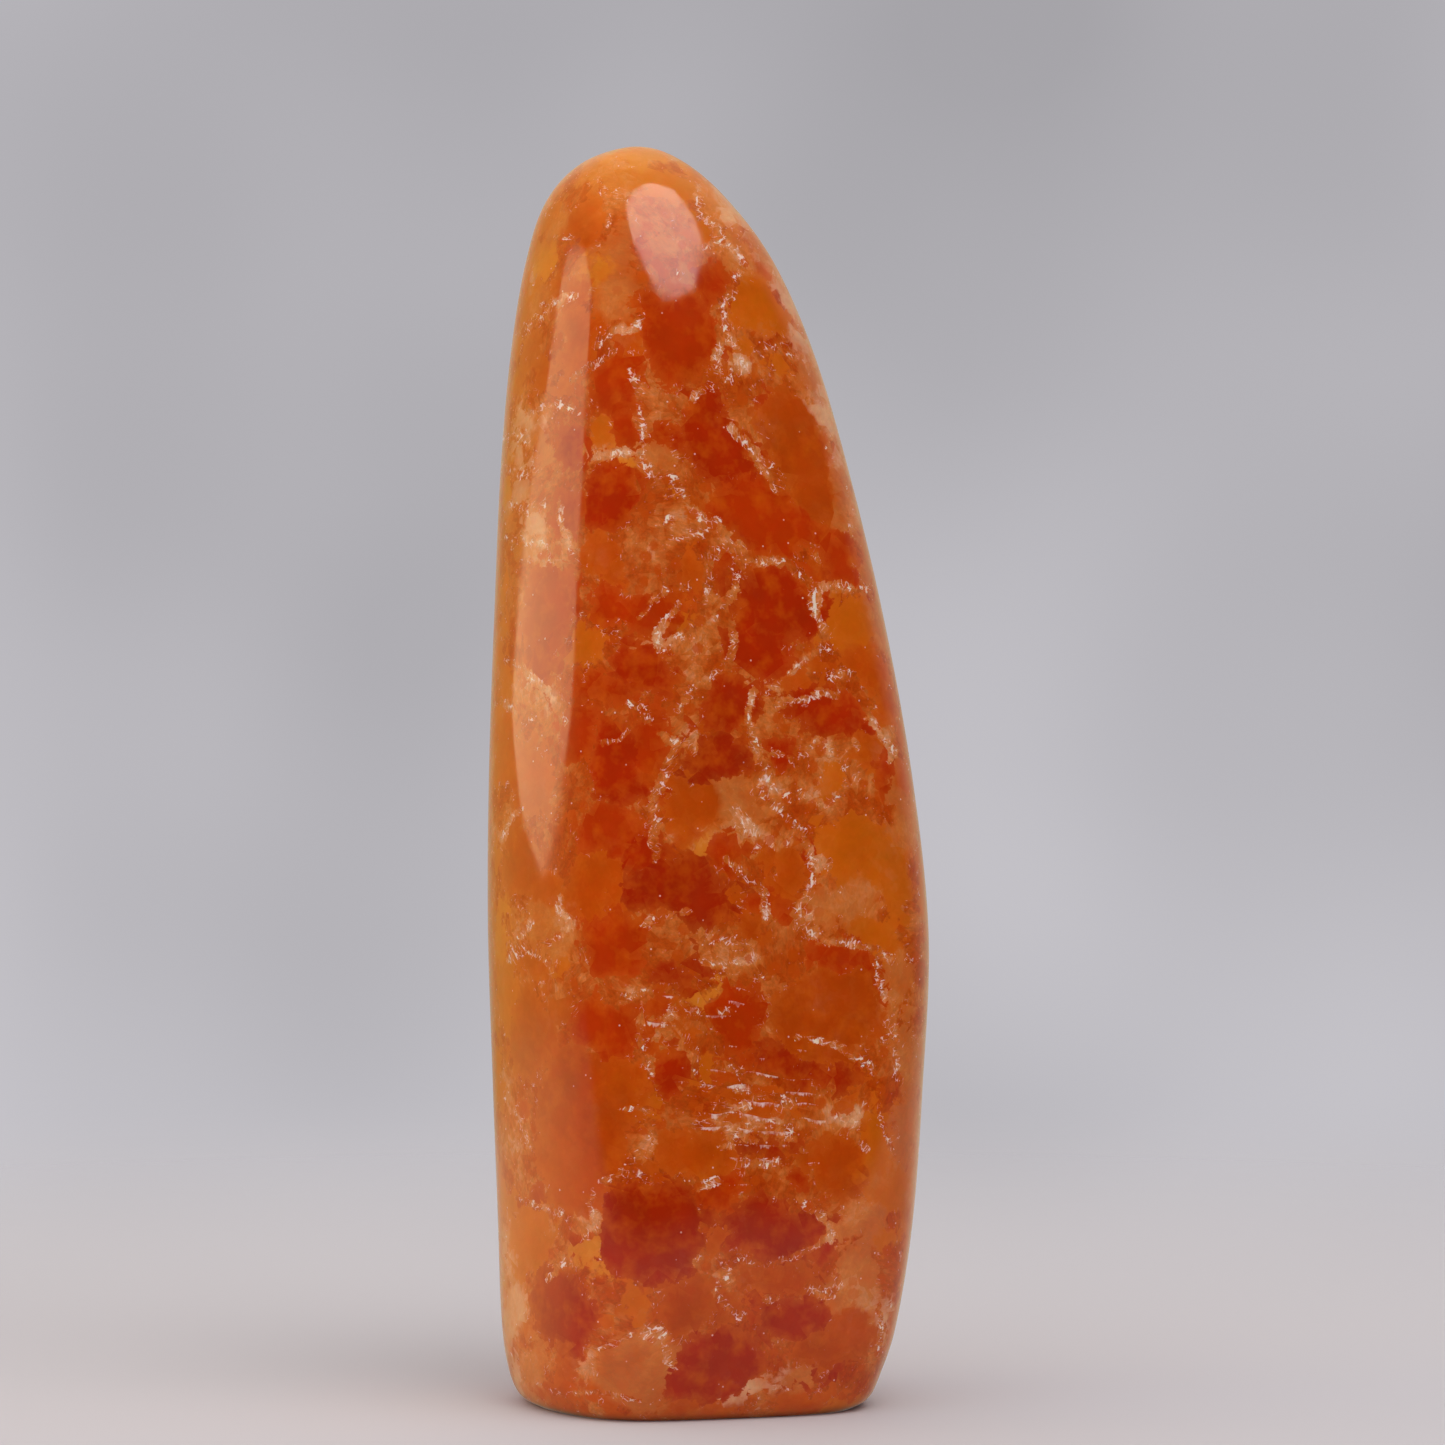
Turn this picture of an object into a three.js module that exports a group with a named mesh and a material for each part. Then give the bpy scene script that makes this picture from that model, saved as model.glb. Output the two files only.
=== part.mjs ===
// Orange calcite freeform: one polished stone, standing on a flat sawn base and leaning a little to the left as it
// narrows to a rounded tip. The stone is a stack of level rings. Each ring reaches from the left edge to the right
// edge of the outline, and its shape is a polygon of softly rounded faces, as the stone was ground by hand.
// Millimetres, +Z up, seen from the front along +Y. The origin is under the middle of the stone, on the base.

import * as THREE from "three";

// The outline from the front, from the rim of the base up to just under the tip: height, left edge, right edge.
// The first four stations are the rounded foot.
const HEIGHT = 150;
const TIP_X = -8.4;
const STATIONS = [
  [0, -20.8, 17.2],
  [1.2, -22.7, 19.2],
  [4.2, -23.9, 20.6],
  [10, -24.7, 22.4],
  [22, -25.2, 24.3],
  [38, -25.9, 25.5],
  [56, -26.5, 26.2],
  [75, -26.3, 24.2],
  [94, -25.7, 20.8],
  [111, -25.0, 16.8],
  [125, -23.8, 12.7],
  [136, -22.0, 7.9],
  [143.5, -19.5, 2.4],
  [148.2, -15.0, -3.0],
];

// How thick the stone is from front to back, as a share of its width, and how far its tip lies behind its foot.
const FOOT_DEPTH_SHARE = 0.85;
const TIP_DEPTH_SHARE = 0.9;
const LEAN_BACK = 1.5;

// The ground faces: the way each one looks, in degrees round from the right, and how far out it lies.
// Between the second and the third is the soft ridge that runs up the front, left of the middle.
const FACES = [
  [4, 1.0],
  [-72, 0.93],
  [-146, 0.97],
  [168, 0.98],
  [98, 0.95],
  [46, 1.06],
];
const ROUNDING = 5.5; // a higher power gives sharper ridges between the faces
const TWIST = 14; // degrees that the faces turn on the way up

// Slow hollows and swells left by the grinding wheel: height as a share of the radius, waves round the stone,
// millimetres up the stone for one wave, and a start angle in degrees.
const SWELLS = [
  [0.009, 2, 120, 20],
  [0.006, 3, 82, 200],
  [0.003, 5, 57, 95],
];

const RINGS = 46; // up the stone, without the tip
const SEGMENTS = 60; // round the stone
const CROWDING = 0.7; // how much closer the rings lie at the foot and the tip, where the stone bends most

const radians = THREE.MathUtils.degToRad;

// One smooth curve through the stations: up the left edge, over the tip and down the right edge.
function makeOutline() {
  const left = STATIONS.map(([z, x]) => new THREE.Vector2(x, z));
  const right = STATIONS.map(([z, , x]) => new THREE.Vector2(x, z)).reverse();
  return new THREE.SplineCurve([...left, new THREE.Vector2(TIP_X, HEIGHT), ...right]);
}

// Places on the curve for the rings, from 0 at the base to 1 at the tip, measured along the left edge.
function ringPlaces(outline) {
  const steps = 2000;
  const walked = [0];
  for (let i = 1; i <= steps; i += 1) {
    const here = outline.getPoint(i / steps / 2);
    const before = outline.getPoint((i - 1) / steps / 2);
    walked.push(walked[i - 1] + here.distanceTo(before));
  }
  const places = [];
  let i = 0;
  for (let ring = 0; ring < RINGS; ring += 1) {
    const even = ring / RINGS;
    const crowded = even - (CROWDING * Math.sin(2 * Math.PI * even)) / (2 * Math.PI);
    const wanted = crowded * walked[steps];
    while (walked[i + 1] < wanted) i += 1;
    const share = (wanted - walked[i]) / (walked[i + 1] - walked[i]);
    places.push((i + share) / steps);
  }
  return places;
}

// How far out the ring lies in one direction: the faces' distances joined by a power sum, which rounds the
// polygon's corners, and then the swells.
function reach(angle, z) {
  const turn = radians(TWIST * (z / HEIGHT));
  let sum = 0;
  for (const [direction, distance] of FACES) {
    const facing = Math.cos(angle - radians(direction) - turn) / distance;
    if (facing > 0) sum += facing ** ROUNDING;
  }
  let swell = 1;
  for (const [share, waves, pitch, start] of SWELLS) {
    swell += share * Math.sin(waves * angle + (2 * Math.PI * z) / pitch + radians(start));
  }
  return swell * sum ** (-1 / ROUNDING);
}

// The ring at height z as points in the square from -1 to 1, which it touches on all four sides.
function ringShape(z) {
  const points = [];
  for (let k = 0; k < SEGMENTS; k += 1) {
    const angle = (2 * Math.PI * k) / SEGMENTS;
    const r = reach(angle, z);
    points.push(new THREE.Vector2(r * Math.cos(angle), r * Math.sin(angle)));
  }
  const box = new THREE.Box2().setFromPoints(points);
  const middle = box.getCenter(new THREE.Vector2());
  const half = box.getSize(new THREE.Vector2()).multiplyScalar(0.5);
  return points.map((p) => p.sub(middle).divide(half));
}

// The ring's points on the stone.
function placeRing(outline, place) {
  const left = outline.getPoint(place / 2);
  const right = outline.getPoint(1 - place / 2);
  const z = left.y;
  const halfWidth = (right.x - left.x) / 2;
  const depthShare = THREE.MathUtils.lerp(FOOT_DEPTH_SHARE, TIP_DEPTH_SHARE, z / HEIGHT);
  const middleX = (left.x + right.x) / 2;
  const middleY = LEAN_BACK * (z / HEIGHT) ** 2;
  return ringShape(z).map(
    (p) => new THREE.Vector3(middleX + p.x * halfWidth, middleY + p.y * halfWidth * depthShare, z)
  );
}

// The rings joined into one closed skin: a flat base, the sides, and the tip.
function stoneGeometry() {
  const outline = makeOutline();
  const rings = ringPlaces(outline).map((place) => placeRing(outline, place));
  const base = rings[0].reduce((sum, p) => sum.add(p), new THREE.Vector3()).divideScalar(SEGMENTS);
  const tip = new THREE.Vector3(TIP_X, LEAN_BACK, HEIGHT);
  const points = [...rings.flat(), base, tip];
  const baseIndex = rings.length * SEGMENTS;
  const tipIndex = baseIndex + 1;

  const index = [];
  for (let k = 0; k < SEGMENTS; k += 1) {
    const next = (k + 1) % SEGMENTS;
    index.push(baseIndex, next, k);
    for (let ring = 0; ring < rings.length - 1; ring += 1) {
      const low = ring * SEGMENTS;
      const high = low + SEGMENTS;
      index.push(low + k, low + next, high + next);
      index.push(low + k, high + next, high + k);
    }
    const top = (rings.length - 1) * SEGMENTS;
    index.push(top + k, top + next, tipIndex);
  }

  const geometry = new THREE.BufferGeometry().setFromPoints(points);
  geometry.setIndex(index);
  geometry.computeBoundingBox();
  const middle = geometry.boundingBox.getCenter(new THREE.Vector3());
  geometry.translate(-middle.x, -middle.y, 0); // the origin goes under the middle of the stone
  geometry.computeVertexNormals();
  return geometry;
}

const polishedCalcite = new THREE.MeshStandardMaterial({ color: "#b44d12", roughness: 0.08, metalness: 0 });
const stone = new THREE.Mesh(stoneGeometry(), polishedCalcite);
stone.name = "calcite_freeform";

const freeform = new THREE.Group();
freeform.add(stone);

export default freeform;
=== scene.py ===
# %% [markdown]
# # An orange calcite freeform
#
# The object is one polished stone, about 150 mm tall. It was sawn flat underneath and ground by hand into a
# leaning form with softly rounded faces, then polished like glass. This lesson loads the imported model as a
# fixed frame, makes the same form again as a fine skin, works out where the crystals lie in the stone, and
# paints and lights them.

import bpy
import numpy as np
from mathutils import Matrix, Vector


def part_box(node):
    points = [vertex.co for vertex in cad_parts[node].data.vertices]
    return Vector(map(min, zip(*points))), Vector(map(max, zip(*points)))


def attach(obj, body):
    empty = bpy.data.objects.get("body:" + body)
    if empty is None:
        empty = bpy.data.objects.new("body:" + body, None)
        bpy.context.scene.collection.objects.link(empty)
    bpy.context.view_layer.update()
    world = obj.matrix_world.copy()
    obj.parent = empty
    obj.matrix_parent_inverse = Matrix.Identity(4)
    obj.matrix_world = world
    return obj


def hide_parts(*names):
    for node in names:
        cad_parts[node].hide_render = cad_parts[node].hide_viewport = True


NODE = "calcite_freeform"
MM = 0.001  # one millimetre in metres

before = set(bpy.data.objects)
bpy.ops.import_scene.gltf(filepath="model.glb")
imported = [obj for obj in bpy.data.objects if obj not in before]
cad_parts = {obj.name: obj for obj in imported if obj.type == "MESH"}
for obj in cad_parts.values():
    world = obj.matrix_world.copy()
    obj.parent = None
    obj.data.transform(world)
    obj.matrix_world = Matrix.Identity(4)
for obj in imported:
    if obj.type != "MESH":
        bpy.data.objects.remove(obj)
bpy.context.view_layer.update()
low, high = (np.array(corner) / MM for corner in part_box(NODE))
print("the stone's box in mm:", low.round(1), high.round(1))


def put_in_scene(name, data):
    """A new object with this data, at the origin and unturned."""
    made = bpy.data.objects.new(name, data)
    bpy.context.collection.objects.link(made)
    return made


# %% [markdown]
# ## The camera
#
# The photograph looks straight along +Y at the middle of the stone, level, from about half a metre away. A
# longer lens from further off would show the curve of the base flatter than the photograph has it.

# %% Camera
CAMERA_DISTANCE = 540  # mm, from the middle of the stone
PICTURE_WIDTH = 172.8  # mm of the scene across the picture, at the stone
SENSOR = 36  # mm
CAMERA_ACROSS = 1.9  # mm to the right of the stone's middle
CAMERA_HEIGHT = 81.0  # mm above the floor

camera_data = bpy.data.cameras.new("camera")
camera_data.sensor_width = SENSOR
camera_data.lens = SENSOR * CAMERA_DISTANCE / PICTURE_WIDTH
camera = put_in_scene("camera", camera_data)
camera.location = np.array([CAMERA_ACROSS, -CAMERA_DISTANCE, CAMERA_HEIGHT]) * MM
camera.rotation_euler = (np.pi / 2, 0, 0)
bpy.context.scene.camera = camera
bpy.context.scene.view_settings.view_transform = "Standard"
print("lens in mm:", round(camera_data.lens, 1))

# %% [markdown]
# ## The form
#
# A ground stone has no straight line and no true circle, but it can be described simply: at each height
# there is a left edge and a right edge, and between them a section with a few softly rounded faces. That is
# a function of two parameters, the place up the outline and the angle round the stone, so the skin is one
# grid of points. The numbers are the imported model's own. A fine grid is used because the crystals are
# stored on its points later.

# %% The outline
HEIGHT = 150.0
TIP_X = -8.4
STATIONS = np.array([  # height, left edge, right edge
    [0, -20.8, 17.2],
    [1.2, -22.7, 19.2],
    [4.2, -23.9, 20.6],
    [10, -24.7, 22.4],
    [22, -25.2, 24.3],
    [38, -25.9, 25.5],
    [56, -26.5, 26.2],
    [75, -26.3, 24.2],
    [94, -25.7, 20.8],
    [111, -25.0, 16.8],
    [125, -23.8, 12.7],
    [136, -22.0, 7.9],
    [143.5, -19.5, 2.4],
    [148.2, -15.0, -3.0],
])


def smooth_curve(points, t):
    """Points on a curve through the given points, t from 0 to 1. Between two points it is a cubic whose
    slope at each of them is half the step from the point before to the point after."""
    place = t * (len(points) - 1)
    i = np.minimum(place.astype(int), len(points) - 2)
    w = (place - i)[:, None]
    start, end = points[i], points[i + 1]
    slope_in = (end - points[np.maximum(i - 1, 0)]) / 2
    slope_out = (points[np.minimum(i + 2, len(points) - 1)] - start) / 2
    cubic = 2 * start - 2 * end + slope_in + slope_out
    square = 3 * end - 3 * start - 2 * slope_in - slope_out
    return ((cubic * w + square) * w + slope_in) * w + start


def edges(t):
    """Left and right edge points (x, z) at places t from 0 at the base to 1 at the tip, both at one
    height."""
    left, right = STATIONS[:, [1, 0]], STATIONS[::-1, [2, 0]]
    points = np.vstack([left, [[TIP_X, HEIGHT]], right])
    return smooth_curve(points, t / 2), smooth_curve(points, 1 - t / 2)


# %% The section
FOOT_DEPTH_SHARE = 0.85
TIP_DEPTH_SHARE = 0.9
LEAN_BACK = 1.5  # mm
FACES = [(4, 1.0), (-72, 0.93), (-146, 0.97), (168, 0.98), (98, 0.95), (46, 1.06)]  # degrees, distance
ROUNDING = 5.5
TIP_ROUNDING = 3.5  # the faces fade out above SOFT_FROM, where the stone is ground rounder
SOFT_FROM = 105  # mm
TWIST = 14  # degrees from base to tip
# slow hollows and swells: share of the radius, waves round, pitch in mm, start in degrees
SWELLS = [(0.009, 2, 120, 20), (0.006, 3, 82, 200), (0.003, 5, 57, 95)]


def section(angle, z):
    """The ring at height z, stretched to run from -1 to 1 both ways. Its radius is the power sum of the
    faces' pulls, cos(angle to the face) / distance, to the power -1 / rounding, times one plus a few slow
    waves."""
    turn = np.radians(TWIST * z / HEIGHT)
    near_tip = np.clip((z - SOFT_FROM) / (HEIGHT - SOFT_FROM), 0, 1)
    rounding = ROUNDING + (TIP_ROUNDING - ROUNDING) * near_tip ** 2 * (3 - 2 * near_tip)
    total = 0
    for direction, distance in FACES:
        pull = np.cos(angle - np.radians(direction) - turn) / distance
        total = total + np.maximum(pull, 0) ** rounding
    radius = total ** (-1 / rounding)
    swell = 1
    for share, waves, pitch, start in SWELLS:
        swell = swell + share * np.sin(waves * angle + 2 * np.pi * z / pitch + np.radians(start))
    flat = np.stack([np.cos(angle), np.sin(angle)]) * radius * swell
    lowest, highest = flat.min(axis=2, keepdims=True), flat.max(axis=2, keepdims=True)
    return 2 * (flat - lowest) / (highest - lowest) - 1


# %% The skin as one grid
AROUND = 300
UP_SIDE = 280
ACROSS_BASE = 38
OUTLINE_STEPS = 4001  # the outline is measured in steps this fine
CROWDING = 0.4  # how much closer the rings lie at the foot and the tip, where the stone bends most


def stone_grid():
    """Rings of points from the middle of the base, out to its rim and up to the tip. A ring on the side is
    the section times half the width between the edges, and times the depth share from front to back. A ring
    on the base is the lowest one drawn in towards its middle."""
    fine = np.linspace(0, 1, OUTLINE_STEPS)
    along = np.concatenate([[0], np.cumsum(np.hypot(*np.diff(edges(fine)[0], axis=0).T))])
    even = np.arange(UP_SIDE) / UP_SIDE
    crowded = even - CROWDING * np.sin(2 * np.pi * even) / (2 * np.pi)
    left, right = edges(np.interp(crowded * along[-1], along, fine))
    z = left[:, 1:]
    angle = np.linspace(0, 2 * np.pi, AROUND, endpoint=False)[None, :] + 0 * z
    u, v = section(angle, z)
    half = (right[:, :1] - left[:, :1]) / 2
    depth_share = FOOT_DEPTH_SHARE + (TIP_DEPTH_SHARE - FOOT_DEPTH_SHARE) * z / HEIGHT
    x = (right[:, :1] + left[:, :1]) / 2 + u * half
    y = LEAN_BACK * (z / HEIGHT) ** 2 + v * half * depth_share
    side = np.stack([x, y, z + 0 * x], axis=-1)
    middle = side[0].mean(axis=0)
    inward = (np.arange(1, ACROSS_BASE + 1) / (ACROSS_BASE + 1))[:, None, None]
    base = middle + (side[0] - middle) * inward
    tip = np.array([TIP_X, LEAN_BACK, HEIGHT])
    return middle, base, side, tip


middle, base, side, tip = stone_grid()
rings = np.concatenate([base, side])
points = np.concatenate([rings.reshape(-1, 3), [middle, tip]])
shift = (low + high) / 2 - (points.min(axis=0) + points.max(axis=0)) / 2
points[:, :2] += shift[:2]
print("points:", len(points), "box in mm:", points.min(axis=0).round(1), points.max(axis=0).round(1))

# %% The mesh
def ring_faces(ring_count, around):
    """Squares between neighbouring rings, a fan of triangles to the middle of the base, and one to the
    tip."""
    k = np.arange(around)
    step = (k + 1) % around
    start = np.arange(ring_count - 1)[:, None] * around
    squares = np.stack([start + k, start + step, start + around + step, start + around + k], axis=-1)
    middle_index = ring_count * around
    top = (ring_count - 1) * around
    base_fan = np.stack([np.full(around, middle_index), step, k], axis=-1)
    tip_fan = np.stack([top + k, top + step, np.full(around, middle_index + 1)], axis=-1)
    return squares.reshape(-1, 4).tolist() + base_fan.tolist() + tip_fan.tolist()


stone_mesh = bpy.data.meshes.new("stone")
stone_mesh.from_pydata((points * MM).tolist(), [], ring_faces(len(rings), AROUND))
stone_mesh.shade_smooth()
stone = put_in_scene("stone", stone_mesh)
normals = np.zeros(len(points) * 3)
stone_mesh.vertex_normals.foreach_get("vector", normals)
normals = normals.reshape(-1, 3)
print("faces:", len(stone_mesh.polygons), "normal at the tip:", normals[-1].round(2))

# %% [markdown]
# ## The crystals
#
# Calcite like this is a mass of interlocking crystals. Clear ones look deep orange to red, because light
# sinks into them. Where they are finely broken the stone is cloudy, from tan to cream. Each crystal here is
# a tilted egg-like body in the stone, so it is cut by the surface on every side. The ones on the front are
# placed one by one, as seen in the photograph; the rest are scattered. What a point of the skin keeps is how
# far it lies from the nearest crystal of each tone, in millimetres. Distances can be blended between points
# without harm, so the material can still draw sharp borders between crystals at any size.

# %% Crystals on the front
TONES = ["tan", "cream", "golden", "amber", "orange", "brown", "red", "wine", "deep", "cloud"]
FRONT = [  # across, height, half width, half height in mm, tone, tilt in degrees if it has one
    (-8, 149.5, 9.4, 1.4, "golden"), (-15, 142.5, 2.4, 2.6, "orange", 20), (-5.5, 146, 5.6, 1.8, "amber"),
    (-1, 141.5, 1.4, 3.8, "amber", 20), (-18.5, 137, 1.6, 2.6, "golden"), (-10.5, 138.5, 1.8, 3.4, "tan"),
    (-12.5, 135.5, 1, 1.2, "golden"), (-10.5, 131.5, 3.2, 2, "tan"), (1.5, 133.5, 2.2, 2, "red"),
    (-4, 127, 5.2, 5, "red", 20), (6.5, 131, 3.6, 3.8, "amber", 30), (-11, 121.5, 3, 3.8, "red"),
    (-15.5, 127, 2.6, 5, "orange", -8), (-21, 126, 1.6, 2.6, "brown", -10), (4, 138, 1.6, 3.6, "tan", 25),
    (1.5, 114, 4, 6.4, "deep", 18), (7.5, 105, 7.6, 4.4, "red", -24), (11, 114.5, 4.6, 7, "brown", 12),
    (-9.5, 115.5, 1.8, 2.2, "red"), (-5.5, 115.5, 1.4, 1, "red"), (-3, 115, 1, 1.4, "deep"),
    (-7, 113, 2.2, 1.4, "tan"), (-11.5, 107.5, 3.8, 5, "deep", -12), (-6.5, 102, 4, 6.2, "cloud", -18),
    (-2.5, 100, 1.6, 3, "orange"), (-6.5, 95.5, 3.8, 3.2, "red", -12), (1.5, 97.5, 1, 2, "deep", 15),
    (8.5, 94, 6.4, 4, "deep", -16), (7, 89.5, 4.6, 3.2, "deep", -10), (-1, 89, 3, 4.4, "cloud", -12),
    (17.5, 92.5, 3.4, 3.2, "amber"), (14, 88, 1.6, 1.2, "orange"), (19, 88, 2.6, 2.8, "orange"),
    (-8, 88, 3.6, 2.8, "deep"), (-21.5, 117, 3, 1.2, "cream", -10), (-16.5, 114, 2, 3.4, "deep"),
    (-17, 105, 2, 2.6, "red"), (-19.5, 92.5, 3.8, 7.4, "red", -6), (-24, 99.5, 1, 2, "amber"),
    (-24.5, 88.5, 1, 3.6, "orange"), (-12, 99.5, 3.2, 2.8, "orange"), (-12, 94.5, 3.4, 2.6, "red"),
    (-14, 90, 2, 2.8, "amber"), (-13, 85, 3.8, 2, "red"), (-19.5, 88.5, 3.2, 4, "deep", -20),
    (13.5, 107.5, 4, 3.6, "brown"), (15.5, 100.5, 2.6, 3.4, "red", -20), (2, 83.5, 3.4, 3.8, "deep"),
    (2, 76.5, 4.6, 2.6, "wine", -8), (-1.5, 72, 3.4, 3.4, "orange"), (3, 71.5, 3, 2.8, "tan"),
    (14.5, 82, 5.8, 2.8, "deep", -14), (18.5, 77, 2, 2.4, "orange"), (11.5, 85.5, 2.6, 1.2, "orange", 10),
    (7, 79.5, 1.6, 2.2, "cloud"), (9, 77.5, 1.6, 1.4, "deep"), (16, 74, 1.4, 2.4, "amber", -20),
    (21.5, 74.5, 1.8, 2, "red"), (18.5, 65.5, 6, 3.4, "amber", -16), (23, 61.5, 1.6, 2.8, "amber", 10),
    (17, 59.5, 4.2, 2, "tan", -6), (9.5, 63.5, 2.8, 3.2, "orange", 10), (12, 66, 1, 1.8, "deep", 20),
    (-2, 61.5, 7.2, 3.8, "wine", -14), (2, 64.5, 2.4, 2, "red", -20), (0, 67.5, 0.8, 0.8, "golden"),
    (9, 59, 3.4, 1.4, "red", -8), (-10.5, 76, 4, 4.4, "deep", 20), (-15.5, 79, 3.2, 3.2, "red"),
    (-6.5, 78.5, 2.2, 5.2, "red"), (-13, 68, 4.8, 3.2, "red", 25), (-22.5, 63.5, 4.6, 4.6, "brown"),
    (-18.5, 61, 3.2, 2.6, "orange", 20), (-13, 62, 3, 5.6, "orange", -30), (-8, 65.5, 3, 2.2, "deep", -15),
    (-11.5, 55, 4.2, 3.6, "red", 20), (-5, 55, 2.6, 3, "cloud"), (-3.5, 51.5, 3.4, 2, "wine"),
    (-24.5, 56, 2, 3, "golden"), (-19.5, 56, 3.6, 2.8, "tan"), (-24, 49, 2.6, 3.8, "amber"),
    (-21, 51.5, 3, 1.6, "orange", -8), (-21, 73, 3.6, 4.8, "orange", 10), (-24, 78.5, 1.8, 5, "orange"),
    (20.5, 83.5, 1.6, 3.6, "orange", -15), (23.5, 69.5, 1.4, 4.8, "tan", -8),
    (-21, 42.5, 4.8, 5.8, "brown"), (-12, 44.5, 4.4, 4, "red", 20), (-10, 50, 2.6, 2, "cloud"),
    (-15, 33, 7.2, 7.6, "brown"), (-11, 38, 3.8, 4.6, "orange"), (-4.5, 39.5, 2.2, 2, "deep", 20),
    (15, 53, 4, 2, "red", -6), (19, 50, 1.6, 3.4, "red", 25), (15, 46.5, 6.6, 5.6, "brown", -15),
    (23, 50, 2.8, 3, "tan"), (11.5, 40, 7.6, 2.2, "wine", -15), (18, 39.5, 2.2, 1.4, "brown", -20),
    (4.5, 45.5, 3.6, 4, "red"), (21.5, 55, 3.6, 2, "amber", -10), (24, 36, 1.8, 11, "tan", 3),
    (16.5, 28, 3.8, 4.4, "brown"), (20.5, 30, 2, 5.8, "amber", 8), (7.5, 30, 2.8, 1.2, "wine"),
    (-1, 30, 4.4, 2.8, "orange"), (4.5, 35, 4, 2, "orange", -8), (-16.5, 27.5, 7.4, 6, "orange"),
    (-7.5, 20.5, 6.2, 6.4, "wine"), (-17.5, 10, 4.4, 4.6, "wine"), (-14.5, 17.5, 1.6, 1.4, "golden", 30),
    (-12, 15.5, 1.4, 1.8, "golden", -30), (-9, 12, 1.6, 2.8, "amber"), (-21, 18.5, 3.8, 5, "amber", 10),
    (-23.5, 8.5, 1.4, 8.2, "cream", -6), (-8, 3.5, 5, 4.6, "tan"), (-17, 3, 1.2, 2.2, "brown"),
    (-2, 11.5, 4.4, 3.2, "brown"), (8.5, 20, 6.4, 3.8, "wine", -8), (1, 4, 5.4, 4.6, "wine"),
    (10, 14, 5, 2, "brown"), (10.5, 10, 5, 3, "wine", -10), (15.5, 6.5, 5.6, 3.2, "brown", 20),
    (14, 2.5, 2.6, 1, "wine"), (11, 1.5, 1.6, 1.6, "tan"), (5, 1, 2.6, 1.6, "cream", 30),
    (8, 2, 1.2, 1.2, "cream"), (18, 20.5, 3.2, 2, "tan"), (22, 25, 2.6, 4.8, "amber", 6),
    (21, 9.5, 1, 3.2, "cream", 12), (18, 13.5, 3, 3.4, "tan"), (1, 25, 3.6, 2, "red"),
    (-8, 149.8, 7, 1, "cream"), (-22.8, 113.5, 1.4, 2, "cream"), (-19.6, 112.6, 1.1, 2.2, "tan"),
    (-24, 109.3, 1, 2.2, "golden"), (-22, 108.8, 1.1, 1.8, "cream", 10), (-23.4, 105, 1.5, 1.5, "tan"),
    (-20.6, 104.4, 2.2, 1.4, "cream", -15), (-22.4, 101.8, 1.8, 1, "tan"), (-20.3, 3.5, 1.6, 2.6, "tan"),
    (-18, 140, 1.6, 2.4, "tan"), (-12, 146.2, 2.6, 1.2, "tan", 10), (5.5, 129.5, 1.6, 1.4, "tan"),
    (-17, 146.5, 3, 1.4, "tan", -40), (2.5, 143, 1.4, 3.2, "cream", 38), (6.8, 137.3, 1.4, 3.4, "tan", 30),
    (9.9, 131, 1.2, 3.8, "cream", 26), (12.4, 124.4, 1.2, 3.6, "tan", 20), (14.5, 117, 1, 4, "cream", 15),
    (16.5, 107.5, 1, 5, "tan", 12), (19, 98.5, 1.2, 3, "tan", 14), (-21.8, 136, 0.8, 4.5, "tan", -18),
]


def seen_from_camera(where):
    """Where points show on the upright plane through the stone's middle: each one is moved along its line
    to the camera until it lies in that plane."""
    nearer = CAMERA_DISTANCE / (CAMERA_DISTANCE + where[:, 1])
    across = CAMERA_ACROSS + (where[:, 0] - CAMERA_ACROSS) * nearer
    height = CAMERA_HEIGHT + (where[:, 2] - CAMERA_HEIGHT) * nearer
    return across, height


SEEN_FROM = -0.02  # a point faces the camera where its normal's share along y is below this
FRONT_FROM = -0.15  # and below this only the smallest crystals are scattered, and no seams wander
across, height = seen_from_camera(points)
faces_camera = normals[:, 1] < SEEN_FROM


def on_front(x, z):
    """The number of the front point that shows nearest to a place in the picture plane."""
    gap = (across - x) ** 2 + (height - z) ** 2
    return np.where(faces_camera, gap, np.inf).argmin()


def leaning(tilt):
    """Three axes of a crystal: tilted in the picture plane, and its depth."""
    c, s = np.cos(np.radians(tilt)), np.sin(np.radians(tilt))
    return np.array([[c, 0, s], [0, 1, 0], [-s, 0, c]])


THINNEST = 1.5  # mm, half the depth of the thinnest crystal
DEEPEST = 6  # mm
crystals = []
for x, z, half_width, half_height, tone, *tilt in FRONT:
    depth = np.clip((half_width + half_height) / 2, THINNEST, DEEPEST)
    crystals.append((points[on_front(x, z)], (half_width, depth, half_height), leaning(sum(tilt)), tone))
print("crystals placed by hand:", len(crystals))

# %% Crystals scattered over the rest
SCATTERED = 700
SMALLEST = 1.0  # mm, half size
SIZE_RANGE = 4.6  # mm, from the smallest to the largest, with few large ones
SMALL = 1.6  # mm; only crystals smaller than this are scattered on the front as well
KEPT_APART = 0.92  # of the two half sizes together; less than one lets neighbours touch
TRIES = 12  # for one crystal, before it is left out
SHARES = {"deep": 5, "red": 6, "wine": 0.3, "orange": 8, "brown": 5, "amber": 5, "golden": 0.5, "tan": 3,
          "cream": 1}
random = np.random.default_rng(12)
tone_names = list(SHARES)
tone_odds = np.array(list(SHARES.values())) / sum(SHARES.values())
THIN_EDGE_TONES = ["orange", "amber", "golden", "tan"]  # no deep red along the outline, so the painted glow there is in lighter tones
THIN_FROM, THIN_TO = -0.5, 0.15  # the normal's share along y at the thin edges
THIN_ABOVE = 125  # mm
edge_odds = tone_odds * np.isin(tone_names, THIN_EDGE_TONES)
edge_odds /= edge_odds.sum()


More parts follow.
